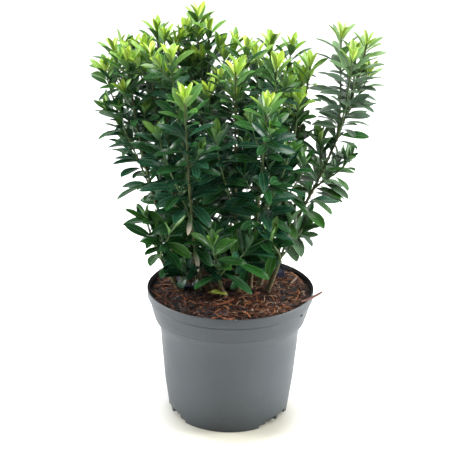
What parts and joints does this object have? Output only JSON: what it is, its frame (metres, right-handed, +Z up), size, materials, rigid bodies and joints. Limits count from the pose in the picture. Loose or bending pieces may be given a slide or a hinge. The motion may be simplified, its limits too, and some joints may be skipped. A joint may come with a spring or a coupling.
{
  "type": "potted euonymus shrub",
  "caption": "Evergreen euonymus shrub with upright leafy shoots, lime green at their tips, in a round nursery pot filled with bark compost.",
  "frame": {"origin": "centre of the pot's flat underside", "axes": "+Z up, +X to the plant's right, -Y to its front, the side with the low leaves over the rim"},
  "size_m": [0.3959, 0.2925, 0.5657],
  "materials": {
    "pot_plastic": "matte moulded, blue-grey",
    "compost": "damp shredded bark and coir",
    "bark": "thin rough bark",
    "leaf": "glossy evergreen leaf"
  },
  "bodies": {
    "root": {"pot": "pot_plastic", "soil": "compost", "stem_back_left": "bark", "stem_back_right": "bark", "stem_front_centre": "bark", "stem_front_left": "bark", "stem_front_right": "bark", "stem_left_back": "bark", "stem_left_inner": "bark", "stem_left_outer": "bark", "stem_low_back": "bark", "stem_low_front": "bark", "stem_low_left": "bark", "stem_low_right": "bark", "stem_right_back": "bark", "stem_right_limb": "bark", "stem_right_side": "bark", "stem_top": "bark", "foliage_back_left": "leaf", "foliage_back_right": "leaf", "foliage_front_centre": "leaf", "foliage_front_left": "leaf", "foliage_front_right": "leaf", "foliage_left_back": "leaf", "foliage_left_inner": "leaf", "foliage_left_outer": "leaf", "foliage_low_back": "leaf", "foliage_low_front": "leaf", "foliage_low_left": "leaf", "foliage_low_right": "leaf", "foliage_right_back": "leaf", "foliage_right_limb": "leaf", "foliage_right_side": "leaf", "foliage_top": "leaf"}
  },
  "joints": []
}
